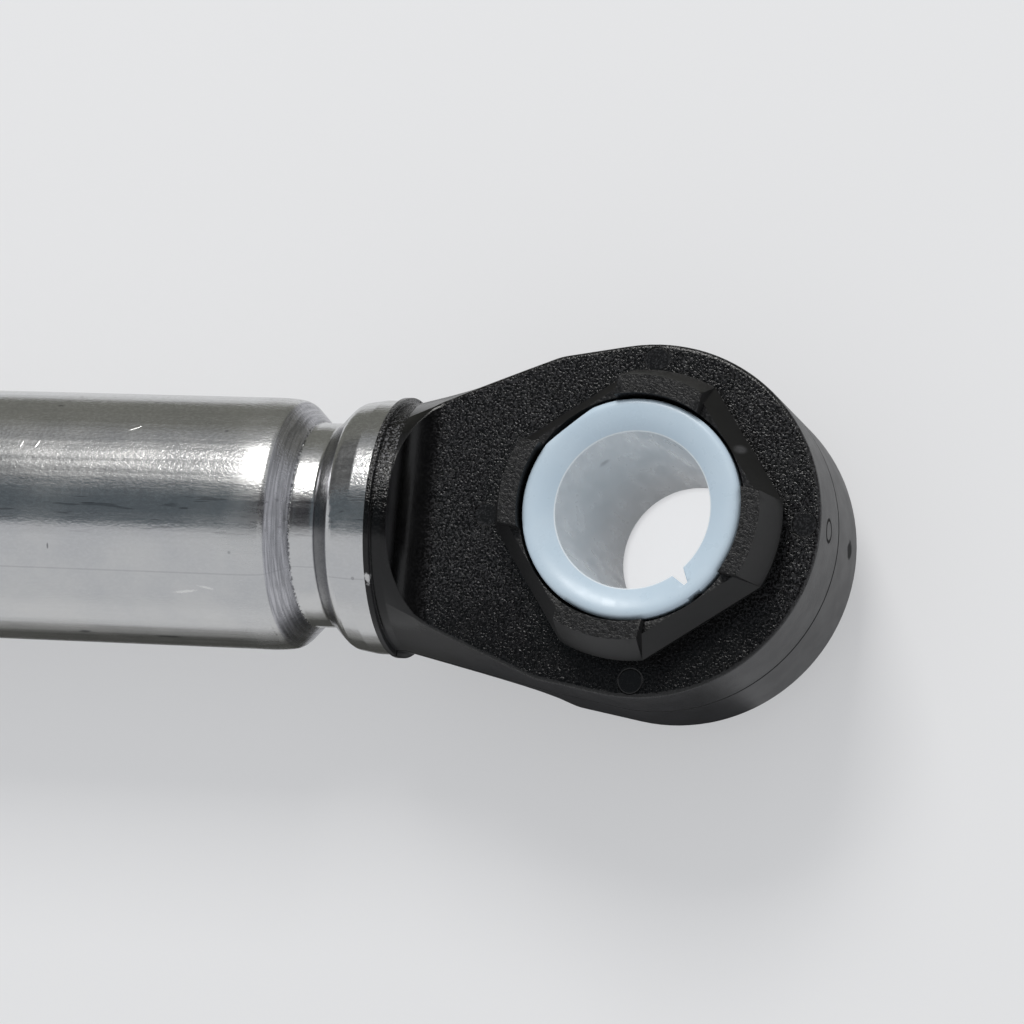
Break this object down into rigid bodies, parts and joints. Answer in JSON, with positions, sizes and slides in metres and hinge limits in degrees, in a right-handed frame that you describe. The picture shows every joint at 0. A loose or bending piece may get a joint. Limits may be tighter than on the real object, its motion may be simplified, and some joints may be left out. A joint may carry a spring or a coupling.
{
  "type": "washing machine shock absorber",
  "caption": "Friction damper with a steel housing tube, a sliding tappet tube and a rubber-bushed plastic eye on each end, for the tub of a washing machine.",
  "frame": {"origin": "middle of the housing eye, on the axis of its pin bore", "axes": "+Z along the pin bore of the housing eye; the tubes run towards -X, so X is the damper's long axis; the part lies flat with both eyes down"},
  "size_m": [0.267, 0.033, 0.0278],
  "materials": {
    "tube_steel": "bare drawn steel, satin, with fine scratches along the tube",
    "eye_plastic": "black moulded plastic with a spark-eroded texture",
    "bush_rubber": "black rubber, matt",
    "sleeve_plastic": "pale blue slippery plastic, slightly see-through, satin",
    "buffer_rubber": "black rubber",
    "guide_plastic": "black moulded plastic",
    "lining_foam": "greased foam lining"
  },
  "bodies": {
    "housing": {"housing_tube": "tube_steel", "housing_eye": "eye_plastic", "housing_rubber_bush": "bush_rubber", "housing_sleeve": "sleeve_plastic", "stop_buffer": "buffer_rubber", "inner_guide": "guide_plastic", "friction_lining_inner": "lining_foam", "lining_spacer": "guide_plastic", "friction_lining_outer": "lining_foam", "mouth_guide": "guide_plastic"},
    "stop_ring": {"stop_ring": "guide_plastic"},
    "tappet": {"tappet_tube": "tube_steel", "tappet_eye": "eye_plastic", "tappet_rubber_bush": "bush_rubber", "tappet_sleeve": "sleeve_plastic"}
  },
  "joints": [
    {"name": "tappet_stroke", "type": "slide", "parent": "housing", "child": "stop_ring", "axis": [-1, 0, 0], "range_m": [-0.038, 0.038]},
    {"name": "tappet_twist", "type": "hinge", "parent": "stop_ring", "child": "tappet", "pos_m": [-0.085, 0, 0], "axis": [-1, 0, 0], "continuous": true}
  ]
}
